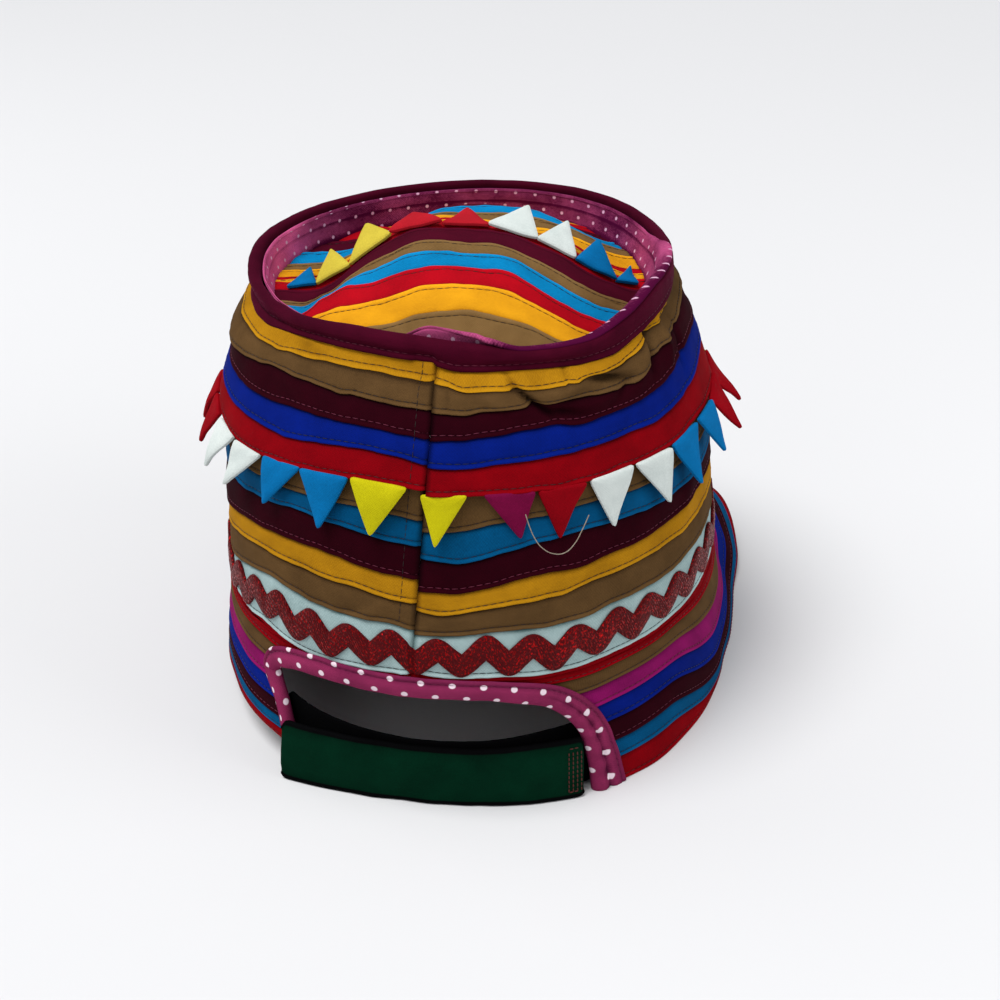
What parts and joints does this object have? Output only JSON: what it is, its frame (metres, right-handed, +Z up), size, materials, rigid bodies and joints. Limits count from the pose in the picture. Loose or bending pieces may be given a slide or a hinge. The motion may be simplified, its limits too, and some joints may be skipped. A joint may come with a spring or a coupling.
{
  "type": "patchwork cloth cap",
  "caption": "Soft two-tier patchwork cap with a sunken striped top, rows of folded pennants, zigzag braid and a brim cut away at the back over an adjusting strap.",
  "frame": {"origin": "under the middle of the cap's bounding box, on the surface that the cap rests on", "axes": "+Z up to the cap's top, +Y to the wearer's front, +X to the wearer's right"},
  "size_m": [0.1916, 0.2528, 0.1674],
  "materials": {
    "patchwork_cotton": "strips of plain woven cotton in maroon, yellow, brown, red and blues, topstitched beside the seams",
    "maroon_cotton": "plain woven cotton, matt",
    "polka_dot_cotton": "magenta-pink woven cotton with small white dots near the edges",
    "pale_cotton": "pale blue-white woven cotton",
    "glitter_braid": "dark red zigzag braid with fine metallic glitter",
    "strap_webbing": "dark green soft loop tape with black rolled edges",
    "black_webbing": "black tape, matt",
    "light_blue_cotton": "plain woven cotton, folded",
    "yellow_cotton": "plain woven cotton, folded",
    "magenta_cotton": "plain woven cotton, folded",
    "red_cotton": "plain woven cotton, folded",
    "white_cotton": "plain woven cotton, folded"
  },
  "bodies": {
    "root": {"top_back_panel": "patchwork_cotton", "top_front_panel": "patchwork_cotton", "rim_binding": "maroon_cotton", "rim_facing": "polka_dot_cotton", "upper_crown": "patchwork_cotton", "lower_crown": "patchwork_cotton", "pale_band": "pale_cotton", "zigzag_braid": "glitter_braid", "brim": "patchwork_cotton", "arch_binding": "polka_dot_cotton", "strap": "strap_webbing", "strap_backing": "black_webbing", "pennant_01_yellow": "yellow_cotton", "pennant_02_magenta": "magenta_cotton", "pennant_03_red": "red_cotton", "pennant_04_white": "white_cotton", "pennant_05_white": "white_cotton", "pennant_06_light_blue": "light_blue_cotton", "pennant_07_light_blue": "light_blue_cotton", "pennant_08_red": "red_cotton", "pennant_09_red": "red_cotton", "pennant_10_yellow": "yellow_cotton", "pennant_11_yellow": "yellow_cotton", "pennant_12_magenta": "magenta_cotton", "pennant_13_magenta": "magenta_cotton", "pennant_14_red": "red_cotton", "pennant_15_white": "white_cotton", "pennant_16_white": "white_cotton", "pennant_17_light_blue": "light_blue_cotton", "pennant_18_light_blue": "light_blue_cotton", "pennant_19_red": "red_cotton", "pennant_20_yellow": "yellow_cotton", "pennant_21_yellow": "yellow_cotton", "pennant_22_magenta": "magenta_cotton", "pennant_23_red": "red_cotton", "pennant_24_white": "white_cotton", "pennant_25_light_blue": "light_blue_cotton", "pennant_26_red": "red_cotton", "pennant_27_red": "red_cotton", "pennant_28_white": "white_cotton", "pennant_29_white": "white_cotton", "pennant_30_light_blue": "light_blue_cotton", "pennant_31_light_blue": "light_blue_cotton", "pennant_32_yellow": "yellow_cotton", "top_pennant_1_light_blue": "light_blue_cotton", "top_pennant_2_yellow": "yellow_cotton", "top_pennant_3_yellow": "yellow_cotton", "top_pennant_4_red": "red_cotton", "top_pennant_5_red": "red_cotton", "top_pennant_6_white": "white_cotton", "top_pennant_7_white": "white_cotton", "top_pennant_8_light_blue": "light_blue_cotton", "top_pennant_9_light_blue": "light_blue_cotton"}
  },
  "joints": []
}
